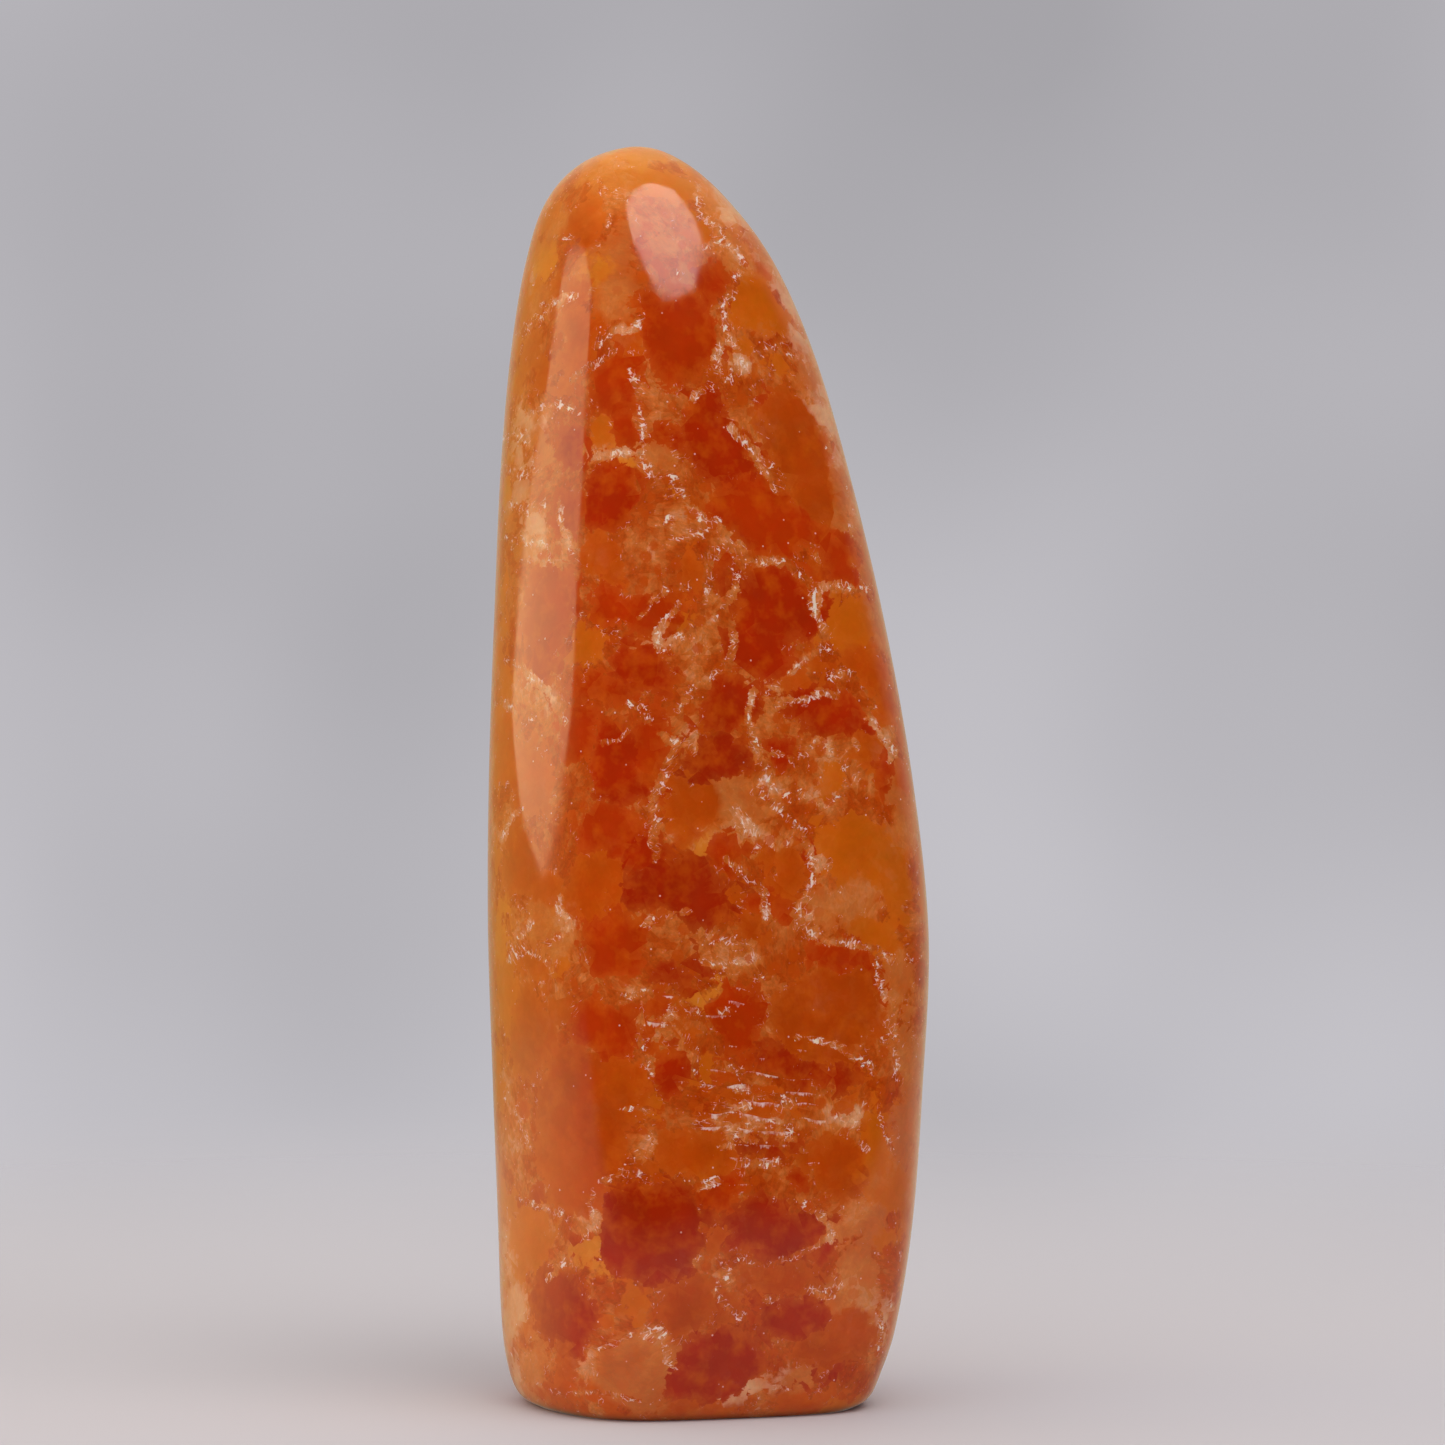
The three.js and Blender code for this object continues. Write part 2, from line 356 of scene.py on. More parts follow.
def turned(count):
    """Random turns: each is the orthogonal factor of a 3 by 3 matrix of random numbers."""
    return np.linalg.qr(random.normal(size=(count, 3, 3)))[0]


sizes = np.sort(SMALLEST + SIZE_RANGE * random.random(SCATTERED) ** 1.6)[::-1]
shapes = sizes[:, None] * random.uniform(0.75, 1.25, (SCATTERED, 3))
turns = turned(SCATTERED)
centres = np.array([c for c, *_ in crystals])
reaches = np.array([np.mean(s) for _, s, *_ in crystals])
for size, shape, turn in zip(sizes, shapes, turns):
    for _ in range(TRIES):
        i = random.integers(len(points))
        hand_placed = normals[i, 1] < FRONT_FROM
        if hand_placed and size > SMALL:
            continue
        gap = np.linalg.norm(centres - points[i], axis=1) - KEPT_APART * (reaches + size)
        if gap.min() > 0:
            thin = THIN_FROM < normals[i, 1] < THIN_TO or points[i, 2] > THIN_ABOVE
            odds = edge_odds if thin else tone_odds
            crystals.append((points[i], tuple(shape), turn, str(random.choice(tone_names, p=odds))))
            centres = np.vstack([centres, points[i]])
            reaches = np.append(reaches, size)
            break
print("crystals in all:", len(crystals))

# %% Distances to the crystals
FAR = 6.0  # mm; further than this makes no difference
CORNERS = 12  # a higher power gives sharper corners between a crystal's faces
SQUARE_WAYS = np.vstack([np.eye(3), -np.eye(3)])
CORNER_WAYS = np.array(np.meshgrid([-1, 1], [-1, 1], [-1, 1])).reshape(3, -1).T / np.sqrt(3)
FACE_DIRECTIONS = np.vstack([SQUARE_WAYS, CORNER_WAYS])


def warp(where):
    """Points pushed about by slow waves of 0.7 mm and 0.35 mm, so that no crystal is a true egg: in each
    direction a sum of sines over the other two."""
    x, y, z = where.T
    push_x = 0.7 * np.sin(z / 2.3 + 1.3 * np.sin(y / 3.1)) + 0.35 * np.sin(z / 1.1 + y / 1.3)
    push_y = 0.7 * np.sin(x / 2.1 + 1.1 * np.sin(z / 3.7) + 2) + 0.35 * np.sin(x / 1.2 - z / 1.0)
    push_z = 0.7 * np.sin(y / 2.6 + 1.2 * np.sin(x / 2.9) + 4) + 0.35 * np.sin(y / 1.0 + x / 1.4)
    return where + np.stack([push_x, push_y, push_z], axis=1)


def distance_fields():
    """For each tone, how far each point lies outside its nearest crystal, less than nothing inside. The
    offset from the crystal's middle is taken in its own axes, each divided by its half size. Its pull
    towards each of the crystal's faces is the part along that face's direction over the face's distance.
    The power sum of the pulls, less one, times the smallest half size, is the distance."""
    fields = {tone: np.full(len(points), FAR) for tone in TONES}
    moved = warp(points)
    for centre, shape, axes, tone in crystals:
        near = np.abs(moved - centre).max(axis=1) < max(shape) + FAR
        offset = (moved[near] - centre) @ axes.T / np.array(shape)
        directions = FACE_DIRECTIONS @ turned(1)[0] / random.uniform(0.84, 1.16, (len(FACE_DIRECTIONS), 1))
        pulls = np.maximum(offset @ directions.T, 0)
        outside = ((pulls ** CORNERS).sum(axis=1) ** (1 / CORNERS) - 1) * min(shape)
        fields[tone][near] = np.minimum(fields[tone][near], outside)
    return fields


fields = distance_fields()
clear = np.min([fields[tone] for tone in TONES if tone != "cloud"], axis=0)
print("share of the skin inside a crystal:", round(float((clear < 0).mean()), 2))

# %% Distances kept on the skin
SETBACK = 1.6  # mm; red needs depth, so the red crystals shrink by this at the tip and the thin edges, which paints a glow there in lighter tones
near_tip = np.clip((points[:, 2] - 139) / 6, 0, 1)  # all of it above 145 mm
near_edge = np.clip(1.2 - np.abs(normals[:, 1]) / 0.3, 0, 1)  # where the skin faces sideways
for tone in ("red", "wine", "deep", "brown"):
    fields[tone] = fields[tone] + SETBACK * np.maximum(near_tip, near_edge)
FIELD_SETS = [("field_a", TONES[0:3]), ("field_b", TONES[3:6]), ("field_c", TONES[6:9])]


def keep(name, values):
    """Stores a number or a vector for each point of the skin as an attribute that the material reads."""
    kind, slot = ("FLOAT", "value") if values.ndim == 1 else ("FLOAT_VECTOR", "vector")
    stone_mesh.attributes.new(name, kind, "POINT").data.foreach_set(slot, values.ravel())
    print(name, "on average:", round(float(values.mean()), 3))


for name, tones in FIELD_SETS:
    keep(name, np.stack([fields[tone] for tone in tones], axis=1))
keep("cloud", fields["cloud"])

# %% [markdown]
# ## Seams, veils and strokes
#
# Where crystals meet, the stone is often finely broken along its cleavage, and such a seam is white and
# catches the light. Beside the seams lie pale veils, and low on the front the cleavage shows as level
# strokes. They could all be left to noise, but the eye knows a stone by them, so the front ones are listed:
# a seam is a chain of places, and a veil or a stroked patch is an oval. Over the sides and the
# back the seams wander at random. As with the crystals, each point of the skin keeps only how near it is to
# them.

# %% White seams on the front
SEAMS = [  # strength, then across, height in mm of each place along the seam
    (0.8, -22.5, 127.5, -19.5, 129.5, -17.5, 131.5, -16, 132),
    (0.6, -13, 146, -12, 144, -11.5, 142, -12, 139.5), (1, -11.5, 143, -9.5, 143.5),
    (0.9, -1, 145, -1, 143, -0.5, 141.5, 1, 140.5, 1.5, 139, 0.5, 138, -0.5, 137.5),
    (0.8, 1.5, 140.5, 2, 138.5, 3.5, 137.5, 4.5, 135.5),
    (0.9, 3.5, 134.5, 3, 132.5, 2, 131, 2, 129, 2.5, 127, 3.5, 126), (0.9, 1.5, 126, 1, 124.5, 1.5, 123),
    (1, 3.5, 124.5, 5, 124, 6.5, 125.5, 8, 126, 10, 125),
    (0.8, -13, 126, -12, 127, -10.5, 128.5, -9.5, 127.5, -8.5, 128.5, -7.5, 129.5),
    (0.7, -16, 122, -14.5, 123.5, -13, 124, -11, 125.5), (0.6, -18, 139, -16, 139),
    (0.8, -9, 123, -8.5, 121.5, -7.5, 120, -8, 118.5, -7.5, 115.5),
    (0.9, -1.5, 120, 0, 121, 1.5, 121, 3.5, 122.5, 5, 123.5),
    (1, -21, 118, -19.5, 119, -17.5, 119, -15.5, 118),
    (1, 3, 116, 4.5, 114.5, 5.5, 113, 7, 111.5, 8, 110, 8.5, 109),
    (0.9, -13, 112.5, -10.5, 113.5, -8, 113, -6.5, 111, -4, 110.5),
    (0.9, -4, 110.5, -3, 108.5, -1.5, 106.5, -0.5, 105),
    (1, -5, 102, -3.5, 103, -1, 103.5, 1, 105, 2.5, 103.5, 1.5, 101.5, 4, 102, 5, 100),
    (1, 5.5, 100, 8, 100.5, 10, 100, 11, 98.5, 13, 97, 13, 95),
    (0.8, 13, 97, 15.5, 97.5, 17.5, 97, 19.5, 97), (0.7, -17.5, 107.5, -17.5, 105, -16.5, 103, -16, 101),
    (1, -24.2, 115, -22.5, 115.5, -21, 114), (1, -24, 111.5, -22.5, 110.5, -20.5, 111),
    (1, -23.5, 106.8, -21.5, 106.5, -19.5, 107), (1, -24, 103, -22, 103, -19.5, 102.5),
    (0.6, -22, 100.5, -19.5, 100, -16.5, 100.5), (0.7, -5.5, 104.5, -4, 106, -4.5, 103),
    (0.8, 2.5, 95.5, 3.5, 97, 3.5, 98.5), (0.8, -8, 93.5, -6.5, 95.5, -4.5, 97, -2, 97),
    (0.7, -0.5, 106, 0.5, 103, 0.5, 100.5, 0, 97.5, 0, 95.5), (0.6, -15, 94, -14, 92.5, -12, 92, -10, 91.5),
    (0.9, -6, 91, -5, 93, -3.5, 95), (0.9, -5.5, 89.5, -4, 91, -2, 91.5),
    (0.8, 3, 92.5, 3.5, 90.5, 2.5, 88, 1, 87, -1, 85.5, -2, 84.5, -3.5, 82.5),
    (0.6, 3.5, 96.5, 1.5, 94.5, 0.5, 93), (0.9, 12.5, 95.5, 13, 94, 14, 92, 14.5, 89.5),
    (0.7, 10, 87, 11.5, 88.5, 13.5, 89.5), (1, 15, 86.5, 16, 87, 17.5, 86.5),
    (0.9, 7.5, 82.5, 9.5, 83.5, 11.5, 83.5, 13.5, 84.5, 15.5, 84.5),
    (0.8, -24, 88.5, -22, 87.5, -20.5, 86, -18, 84), (0.8, -24.5, 83.5, -22.5, 82.5, -21, 81.5),
    (0.6, -12.5, 78.5, -10.5, 79, -9, 80.5, -7.5, 82), (1, -9, 83, -7.5, 82.5, -7, 81.5),
    (0.9, -1.5, 79.5, -1.5, 77.5), (0.8, 5.5, 85, 5, 82, 5.5, 79, 6, 77.5, 7, 75.5),
    (1, 7, 75.5, 7.5, 74, 6.5, 73, 6.5, 71.5, 8.5, 73.5, 10, 71.5),
    (0.7, -5.5, 79.5, -3.5, 78.5, -4, 77, -5, 75.5),
    (1, -5, 74.5, -6, 73, -6.5, 71, -6, 69, -6.5, 67, -6, 65),
    (0.9, 8, 77.5, 10, 76.5, 11, 76.5, 12.5, 78, 13.5, 79), (0.8, 13.5, 79, 15, 77.5, 16.5, 76, 17.5, 74.5),
    (0.9, 11, 73, 12.5, 71.5, 14.5, 71, 16.5, 73, 18, 74.5),
    (0.8, 19.5, 81.5, 21, 79.5, 22.5, 77.5, 22, 76.5), (0.9, 3.5, 71, 5, 68.5, 6, 68),
    (0.8, 8, 71, 10, 69.5, 11.5, 68, 12.5, 65.5), (0.7, 7, 67, 8.5, 66, 10.5, 67),
    (0.6, -24.5, 67, -23.5, 69.5, -22, 71), (1, 17.5, 78.5, 18, 78),
    (0.9, 2.5, 64.5, 4, 63.5, 5.5, 62, 6.5, 61, 7, 60, 7, 57.5),
    (0.8, 12.5, 65, 13, 63.5, 12, 61, 11.5, 59), (0.9, 11, 59, 12.5, 58, 12, 56.5, 13.5, 55, 17.5, 54.5),
    (1, 13.5, 64.5, 14.5, 64), (0.8, 17.5, 54.5, 20, 54, 22.5, 52.5),
    (0.8, -23, 60, -22, 58.5, -21, 57, -22.5, 55, -23.5, 53),
    (0.8, -17.5, 60, -17.5, 58.5, -16, 57, -17.5, 55.5, -20, 54.5),
    (0.8, -23.5, 52.5, -22, 54, -20, 53, -19, 52.5), (0.7, -8, 56.5, -6.5, 57.5, -4, 58, -2, 58.5),
    (1, 1, 55, 3.5, 54.5, 5.5, 54.5, 6, 53, 4.5, 52.5, 3.5, 52.5), (0.8, -0.5, 52.5, 2, 52),
    (0.9, -10.5, 48, -8, 48.5, -7, 49), (0.8, -2.5, 46.5, -1, 46.5), (0.8, -4.5, 46, -3.5, 46),
    (0.8, 1.5, 46.5, 2.5, 46.5), (0.7, -8, 45.5, -8, 43, -7, 40.5, -6.5, 39), (0.6, -5.5, 45.5, -6, 43),
    (0.8, -1, 42, -1.5, 39), (1, 11, 43.5, 13, 43, 15.5, 42.5, 17.5, 41, 20, 39.5), (0.9, 1.5, 40, 4, 39.5),
    (0.7, 20.5, 52.5, 20.5, 50, 21.5, 48, 23, 46.5), (0.7, 23, 45.5, 22.5, 42.5, 22.5, 40, 23, 38),
    (0.8, 24, 52.5, 25.5, 53), (1, 4, 37, 6.5, 36.5, 8.5, 36, 11, 36),
    (1, 1.5, 35, 3.5, 35, 5, 35.5, 4.5, 34), (0.9, 4.5, 33, 7, 33, 10, 33, 9.5, 31.5, 11, 32.5),
    (0.8, -1, 33.5, 1.5, 33.5), (0.8, 1.5, 32.5, 4, 32), (0.9, 5, 28.5, 7, 28, 8.5, 28.5),
    (0.8, 4.5, 31.5, 5.5, 31), (0.9, -1, 25, 0.5, 26, 1.5, 26), (0.7, 1.5, 30, 3, 30.5),
    (1, -6.5, 32.5, -6.5, 30.5, -8, 30, -9, 28.5), (0.9, -12.5, 26, -10.5, 27, -8.5, 27, -7, 26),
    (0.8, -13.5, 25, -14, 23.5, -13, 21.5, -14, 20), (0.7, -22.5, 24, -20, 23, -18, 22.5, -16.5, 21.5),
    (0.6, -24, 36, -22.5, 33.5, -21.5, 31.5, -21, 30),
    (1, 14.5, 34.5, 16, 33.5, 17.5, 32.5, 18.5, 34.5, 19, 36), (0.7, 16, 34, 17, 32.5, 19, 30),
    (0.5, 20.5, 35, 21, 33, 22, 30), (0.8, 11, 24, 13, 22.5, 14.5, 21, 15, 19),
    (0.6, -10.5, 34.5, -8, 35, -6.5, 34.5), (0.7, -16, 20.5, -14, 19.5, -13, 20.5),
    (0.8, 1.5, 17, 2.5, 15.5, 2.5, 14.5), (0.9, 3.5, 17, 5.5, 16.5),
    (0.6, 7.5, 16, 10, 17, 12.5, 18, 14.5, 19.5), (0.8, 15.5, 15.5, 16, 13.5),
    (1, 12.5, 13.5, 14.5, 12.5, 16, 13.5), (0.7, 1, 13, 2, 11.5, 4, 10), (0.8, 7, 12, 8.5, 12),
    (1, -7, 7.5, -7, 8.5, -5.5, 8.5, -4.5, 7), (0.9, -5, 5.5, -4, 4),
    (0.7, -19, 14.5, -17.5, 15.5, -17, 17), (0.5, -13, 6, -10.5, 7, -8, 8.5),
    (0.5, -20, 2, -17.5, 0.5, -13, 1, -8, 0), (0.6, 20.5, 11.5, 21, 8.5, 20.5, 6),
]
SEAM_REACH = 3.0  # mm


def gap_to_step(where, start, end):
    """How far points lie from the straight step between two places. The nearest place on it is where a
    point's shadow falls."""
    step = end - start
    share = np.clip((where - start) @ step / max(step @ step, 0.01), 0, 1)
    return np.linalg.norm(where - start - share[:, None] * step, axis=1)


def seam_distances():
    """How far each front point lies from the nearest seam's steps, as seen from the camera, over the seam's
    strength."""
    seen = np.stack([across, height], axis=1)
    nearest = np.full(len(points), SEAM_REACH)
    for strength, *places in SEAMS:
        chain = np.array(places, dtype=float).reshape(-1, 2)
        for start, end in zip(chain[:-1], chain[1:]):
            nearest = np.minimum(nearest, gap_to_step(seen, start, end) / strength)
    nearest[~faces_camera] = SEAM_REACH
    return nearest


def wandering_seams(count, steps, stride):
    """Chains of places over the sides and the back. Each chain starts at a random point of the skin. Each
    step is the last one plus a random turn, laid into the skin by taking away its part along the normal,
    and the place it leads to is moved to the nearest point of the skin."""
    coarse = np.arange(0, len(points), 4)
    skin, outward = points[coarse], normals[coarse]
    at = random.choice(np.flatnonzero(outward[:, 1] > -0.2), count)
    way = random.normal(size=(count, 3))
    chains = [skin[at]]
    for _ in range(steps):
        way = way + 0.35 * random.normal(size=(count, 3))
        way -= (way * outward[at]).sum(axis=1, keepdims=True) * outward[at]
        way /= np.linalg.norm(way, axis=1, keepdims=True)
        wanted = skin[at] + stride * way
        at = ((skin ** 2).sum(axis=1) - 2 * wanted @ skin.T).argmin(axis=1)
        chains.append(skin[at])
    return np.stack(chains, axis=1)


def distances_to_chains(chains):
    """How far each point of the sides and the back lies from the nearest step of the chains."""
    nearest = np.full(len(points), SEAM_REACH)
    behind = normals[:, 1] > FRONT_FROM
    for chain, weakness in zip(chains, random.uniform(1.0, 1.9, len(chains))):
        for start, end in zip(chain[:-1], chain[1:]):
            near = np.flatnonzero(behind & (np.abs(points - start).max(axis=1) < SEAM_REACH + 3))
            gap = gap_to_step(points[near], start, end)
            nearest[near] = np.minimum(nearest[near], gap * weakness)
    return nearest


def patches(places):
    """For each front point, the strongest of the patches over it: full in the middle, fading to nothing a
    little outside its edge."""
    amount = np.zeros(len(points))
    for x, z, half_width, half_height, strength in places:
        offset = np.hypot((across - x) / half_width, (height - z) / half_height)
        amount = np.maximum(amount, strength * np.clip(1.6 - 1.1 * offset, 0, 1))
    amount[~faces_camera] = 0
    return amount


# %% Pale and stroked patches on the front
PALE = [  # across, height, half width, half height in mm, strength
    (3.5, 124, 3, 1.5, 1), (-4, 118, 2.5, 2, 0.7), (-10.5, 113, 3.5, 1, 0.8), (-22, 116.5, 2, 2.5, 1),
    (-22.5, 105, 2, 5, 0.8), (-19, 102, 3.5, 2.5, 0.8), (2.5, 102, 2.5, 2, 0.8), (-7.5, 104, 2.5, 3, 0.5),
    (4, 117, 3.5, 3.5, 0.6), (-2, 105, 2.5, 2, 0.6), (-14, 101, 2, 2, 0.5), (17, 97, 3, 1, 0.7),
    (-20, 85, 2.5, 2.5, 0.9), (-4.5, 91, 2, 1.5, 0.9), (-1, 89.5, 2.5, 3.5, 0.5), (11, 88, 2, 1.5, 0.8),
    (16, 86.5, 1, 1, 1), (21, 78.5, 1.5, 3, 0.9), (7.5, 73.5, 2, 1.5, 1), (14.5, 73, 3, 1.5, 0.9),
    (13.5, 77, 2, 1.5, 0.6), (-1, 67, 4, 2, 0.8), (4, 69.5, 2.5, 2, 0.7), (8.5, 67, 3, 1.5, 0.8),
    (18, 73, 3, 3, 0.6), (-2, 79.5, 1.5, 1, 0.7), (-22.5, 56, 2, 3, 0.9), (-16.5, 57.5, 2, 2.5, 0.8),
    (-8, 49.5, 2, 1.5, 0.7), (-2, 48, 3.5, 1.5, 0.6), (3.5, 53, 3, 1.5, 0.8), (12.5, 59, 2, 2, 1),
    (17, 58.5, 3.5, 2.5, 0.7), (22.5, 54, 2, 2, 0.6), (22, 44, 1.5, 5, 0.6), (16.5, 34, 2.5, 2, 1),
    (-8, 30.5, 1.5, 2, 1), (-14, 21.5, 2, 1.5, 1), (-20, 21, 3, 1.5, 0.7), (-6.5, 7.5, 1.5, 1, 1),
    (5.5, 2, 2.5, 1.5, 1), (-21, 3.5, 2, 3, 0.7), (-1, 45, 2.5, 1.5, 0.7), (5, 33.5, 6, 1, 0.5),
    (17, 22.5, 2, 1.5, 0.6), (17, 15, 2, 2, 0.6), (20.5, 8.5, 1.5, 3, 0.6), (-14, 4, 1.5, 2, 0.7),
    (-15.5, 147.5, 4, 1.5, 0.6), (1.5, 142.5, 2, 3, 0.6), (3.5, 137.5, 2.5, 1.5, 0.7),
    (-13, 140.5, 2, 2, 0.6), (-10, 127, 1.5, 1.5, 0.8), (8, 137.5, 2.5, 5.5, 0.6), (14, 119.5, 2, 6, 0.5),
    (18, 105, 1.5, 7, 0.5), (-8, 149, 5.5, 1, 0.6),
]
STROKED = [
    (6, 35, 10, 8, 1), (-1, 47, 9, 6, 0.8), (3, 27, 7, 5, 0.6), (2, 54, 7, 5, 0.7), (13, 42, 8, 4, 0.6),
]
SCRATCHED = [(4.5, 120, 4, 3.5, 0.65), (6.5, 115, 3, 3, 0.7), (2, 124.5, 4, 2, 0.6)]

# %% Painted glow along the outline, and seams behind
WANDERING = 170  # seams over the sides and the back
STEPS = 4  # in each of them
STRIDE = 3.0  # mm, one step

# painted glow: a lighter colour painted along the outline as the camera sees it, for light shining through;
# the light comes from the left, so it goes in deeper there
on_left = normals[:, 0] < 0
strongest = np.where(on_left, -0.22, -0.1)  # the normal's share along y where the glow is strongest
reach_in = np.where(on_left, 0.57, 0.42)  # how far from there the glow ends
glow = np.clip(1 - np.abs(normals[:, 1] - strongest) / reach_in, 0, 1)
glow_from_foot = np.clip(points[:, 2] / 10, 0, 1)
glow_at_tip = np.clip((points[:, 2] - 137) / 14, 0, 0.8)
# the painted glow along the outline and over the tip
painted_rim_glow = np.maximum(glow * glow_from_foot, glow_at_tip)
behind_seams = distances_to_chains(wandering_seams(WANDERING, STEPS, STRIDE))
behind_pale = 0.9 * np.clip(1.6 - behind_seams / 1.8, 0, 1)  # a veil within 3 mm of a seam
# the pale attribute holds the real veils and also a paler outline taken from the painted glow
pale = np.max([patches(PALE), 0.75 * painted_rim_glow, behind_pale], axis=0)
# the edge attribute is the painted glow along the outline
skin_fields = {"seams": np.minimum(seam_distances(), behind_seams), "pale": pale, "edge": painted_rim_glow,
               "strokes": patches(STROKED), "scratches": patches(SCRATCHED)}
for name, values in skin_fields.items():
    keep(name, values)

# %% [markdown]
# ## The finish
#
# Polished orange calcite. Light goes a few millimetres in before it comes back, which is why thin edges
# glow, and the polish puts a sharp, pale reflection on top. So the material is one shader with light
# scattering under the surface and a low roughness, and its colour is built up in the order in which the eye
# reads the stone: clear crystals, the cloudy mass between them, then the white cleavage flecks that catch
# the light. On top of that a glow is painted into the colour along the outline as the camera sees it.

# %% Helpers for colours and nodes
def colour(code):
    """An sRGB hex value as a linear colour: each part over 255, then the standard curve."""
    parts = np.array([int(code[i:i + 2], 16) for i in (1, 3, 5)]) / 255
    linear = np.where(parts <= 0.04045, parts / 12.92, ((parts + 0.055) / 1.055) ** 2.4)
    return (*linear.tolist(), 1.0)


def add(tree, kind, sockets=(), output=0, **settings):
    """Adds a shader node of one kind with its settings, sets or links its sockets, and returns one of its
    outputs. The sockets are a list in their order on the node, or a dictionary by number or name."""
    made = tree.nodes.new("ShaderNode" + kind)
    for name, value in settings.items():
        setattr(made, name, value)
    pairs = sockets.items() if isinstance(sockets, dict) else enumerate(sockets)
    for key, value in pairs:
        if isinstance(value, bpy.types.NodeSocket):
            tree.links.new(value, made.inputs[key])
        else:
            made.inputs[key].default_value = value
    return made.outputs[output] if made.outputs else None


def new_material(name):
    """An empty material and its node tree."""
    material = bpy.data.materials.new(name)
    material.use_nodes = True
    material.node_tree.nodes.clear()
    return material, material.node_tree


def add_ramp(tree, value, stops):
    """A colour ramp over a value, with its stops as (place, hex colour)."""
    made = add(tree, "ValToRGB", [value]).node
    while len(made.color_ramp.elements) < len(stops):
        made.color_ramp.elements.new(1.0)
    for element, (place, code) in zip(made.color_ramp.elements, stops):
        element.position = place
        element.color = colour(code)
    return made.outputs[0]


# %% Which crystal a place belongs to
RAGGED = 1.5  # mm, the size of the bays and points along a crystal's border
BLOCK = 2.3  # mm, the blocks that give the border its corners
GRANULE = 0.7  # mm, the crumbs that the border is made of
NOISE_PUSH = 2.6  # mm, the whole range by which noise moves a border
GRANULE_PUSH = 2.2  # mm, and by which the blocks and granules do


def shaken_distances(tree, place):
    """The nine distances, pushed up and down by noise and by a random step for each small granule, which
    makes the borders ragged. Each tone is pushed in its own way, or the borders would stay smooth."""
    granules = add(tree, "TexVoronoi", {"Vector": place, "Scale": 1 / GRANULE}, "Color")
    blocks = add(tree, "TexVoronoi", {"Vector": place, "Scale": 1 / BLOCK}, "Color")
    both = add(tree, "Mix", {0: 0.3, 6: blocks, 7: granules}, 2, data_type="RGBA")
    distances = []
    for number, (name, _) in enumerate(FIELD_SETS):
        field = add(tree, "Attribute", output="Vector", attribute_name=name)
        moved = add(tree, "VectorMath", [place, (31.7 * number, 11.3, 5.1)], operation="ADD")
        noise = add(tree, "TexNoise", {
            "Vector": moved, "Scale": 1 / RAGGED, "Detail": 4, "Roughness": 0.62}, "Color")
        turned = add(tree, "VectorRotate", {
            "Vector": both, "Center": (0.5, 0.5, 0.5), "Axis": (1, 1, 1), "Angle": 2.1 * number})
        push, step = (
            add(tree, "VectorMath", [source, (reach,) * 3, (-reach / 2,) * 3], operation="MULTIPLY_ADD")
            for source, reach in ((noise, NOISE_PUSH), (turned, GRANULE_PUSH)))
        shaken = add(tree, "VectorMath", [push, step], operation="ADD")
        total = add(tree, "VectorMath", [field, shaken], operation="ADD")
        parts = add(tree, "SeparateXYZ", [total]).node
        distances += list(parts.outputs)
    return distances


# %% Colour of the clear crystals
CLEAR = {  # colour, and how milky such crystals are
    "tan": ("#DA8440", 1.0), "cream": ("#F2C8A0", 0.9), "golden": ("#E8942A", 0.6),
    "amber": ("#D86C06", 0.35), "orange": ("#D05402", 0.3), "brown": ("#C64C03", 0.3),
    "red": ("#C73900", 0.12), "wine": ("#B42603", 0.16), "deep": ("#BE2B00", 0.06),
}
SOFT_BORDER = 0.9  # mm; milky crystals melt into each other
SHARP_BORDER = 0.12  # mm; clear red ones end at once
SHARP_TONES = ["red", "wine", "deep"]


def blended_tones(tree, distances):
    """Joins the tones, the milky ones first. The share of the next tone rises from none to all where its
    distance falls below the smallest one so far, over the width of the border. The smooth minimum of the
    two distances goes on to the next tone. A meeting of two tones is where both distances are alike."""
    nearest = distances[0]
    tone, milky = CLEAR["tan"]
    tone = colour(tone)
    meeting = 0.0
    for name, distance in zip(TONES[1:], distances[1:]):
        next_tone, next_milky = CLEAR[name]
        width = SHARP_BORDER if name in SHARP_TONES else SOFT_BORDER
        lead = add(tree, "Math", [nearest, distance], operation="SUBTRACT")
        share = add(tree, "MapRange", [lead, -width, width, 0.0, 1.0])
        tone = add(tree, "Mix", {0: share, 6: tone, 7: colour(next_tone)}, 2, data_type="RGBA")
        milky = add(tree, "Mix", {0: share, 2: milky, 3: next_milky}, data_type="FLOAT")
        nearest = add(tree, "Math", [nearest, distance, width], operation="SMOOTH_MIN")
        if name in SHARP_TONES:
            alike = add(tree, "Math", [lead], operation="ABSOLUTE")
            alike = add(tree, "MapRange", [alike, 0.0, 0.5, 1.0, 0.0])
            left_over = add(tree, "Mix", {0: share, 2: meeting, 3: 0.0}, data_type="FLOAT")
            meeting = add(tree, "Math", [left_over, alike], operation="MAXIMUM")
    return tone, milky, nearest, meeting


CLOUD_SIZE = 4.5  # mm, the soft clouds deep in a crystal
HAZE_SIZE = 3.0  # mm
RIM = 1.6  # mm, the paler band inside a crystal's border
HAZE_TONE, RIM_TONE = "#E26E0C", "#E87C24"
PAINTED_EDGE_GLOW = "#F2A844"  # painted glow: the colour mixed in along the outline, where light would shine through
